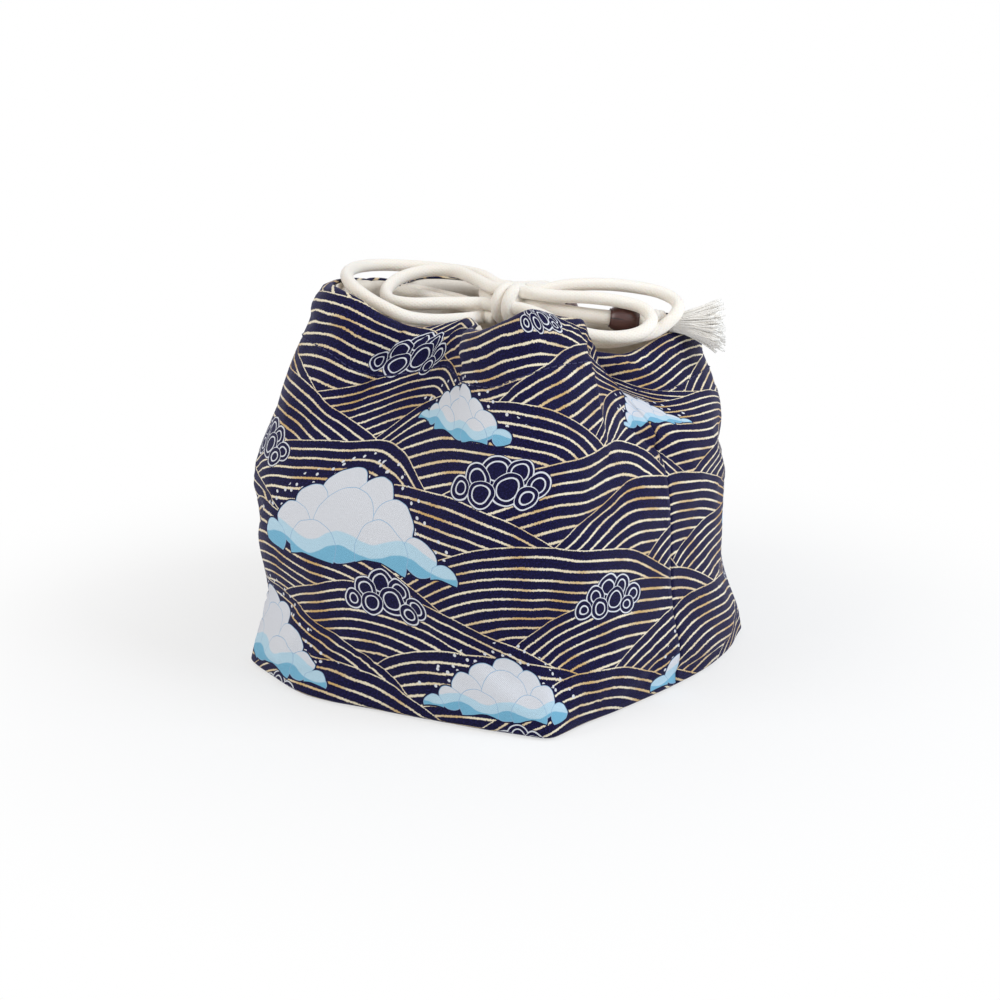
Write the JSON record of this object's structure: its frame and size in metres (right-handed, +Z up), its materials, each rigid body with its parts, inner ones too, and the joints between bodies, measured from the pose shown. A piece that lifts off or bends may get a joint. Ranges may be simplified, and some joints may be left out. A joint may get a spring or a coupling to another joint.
{
  "type": "drawstring bucket bag",
  "caption": "Soft square-based drawstring bag in printed cotton with a plain lining; cords run in casings round the gathered mouth and are tied in a bow with beaded, tasselled tails.",
  "frame": {"origin": "middle of the base, on the surface that the bag stands on", "axes": "+Z up, -Y the front panel, +X the right-hand side slit"},
  "size_m": [0.1737, 0.1919, 0.1626],
  "materials": {
    "printed_cloth": "matt printed cotton, gold and white on navy",
    "lining_cloth": "matt plain cotton",
    "cotton_cord": "matt cotton cord",
    "dark_wood": "satin dark wood"
  },
  "bodies": {
    "bag": {"outer_base_panel": "printed_cloth", "outer_front_panel": "printed_cloth", "outer_back_panel": "printed_cloth", "lining_base_panel": "lining_cloth", "lining_front_panel": "lining_cloth", "lining_back_panel": "lining_cloth", "left_front_lead": "cotton_cord", "left_back_lead": "cotton_cord", "right_front_lead": "cotton_cord", "right_back_lead": "cotton_cord", "left_outer_loop": "cotton_cord", "left_inner_loop": "cotton_cord", "right_far_loop": "cotton_cord", "right_near_loop": "cotton_cord", "bow_knot": "cotton_cord", "right_tail": "cotton_cord", "right_end_knot": "cotton_cord", "left_tail": "cotton_cord"},
    "front_rim": {"front_casing": "printed_cloth", "front_casing_upper_cord": "cotton_cord", "front_casing_lower_cord": "cotton_cord"},
    "back_rim": {"back_casing": "printed_cloth", "back_casing_upper_cord": "cotton_cord", "back_casing_lower_cord": "cotton_cord", "left_tail_end": "cotton_cord", "left_end_knot": "cotton_cord"},
    "right_bead": {"right_bead": "dark_wood"},
    "left_bead": {"left_bead": "dark_wood"},
    "right_tassel": {"right_tassel": "cotton_cord"},
    "left_tassel": {"left_tassel": "cotton_cord"}
  },
  "joints": [
    {"name": "front_mouth_open", "type": "slide", "parent": "bag", "child": "front_rim", "axis": [0, -1, 0], "range_m": [0, 0.015]},
    {"name": "back_mouth_open", "type": "slide", "parent": "bag", "child": "back_rim", "axis": [0, 1, 0], "range_m": [0, 0.015]},
    {"name": "right_bead_slide", "type": "slide", "parent": "bag", "child": "right_bead", "axis": [0.7966, 0.5941, -0.112], "range_m": [-0.008, 0.0024]},
    {"name": "left_bead_slide", "type": "slide", "parent": "back_rim", "child": "left_bead", "axis": [0, 0.7304, -0.683], "range_m": [-0.0055, 0.0065]},
    {"name": "right_tassel_swing", "type": "hinge", "parent": "bag", "child": "right_tassel", "pos_m": [0.06015, 0.0315, 0.14233], "axis": [0, 0, 1], "range_deg": [-8, 10]},
    {"name": "left_tassel_swing", "type": "hinge", "parent": "back_rim", "child": "left_tassel", "pos_m": [-0.013, 0.08301, 0.11794], "axis": [0, 0.9326, 0.361], "range_deg": [-25, 25]}
  ],
  "couplings": [
    {"joint": "back_mouth_open", "follows": "front_mouth_open", "ratio": 1}
  ]
}
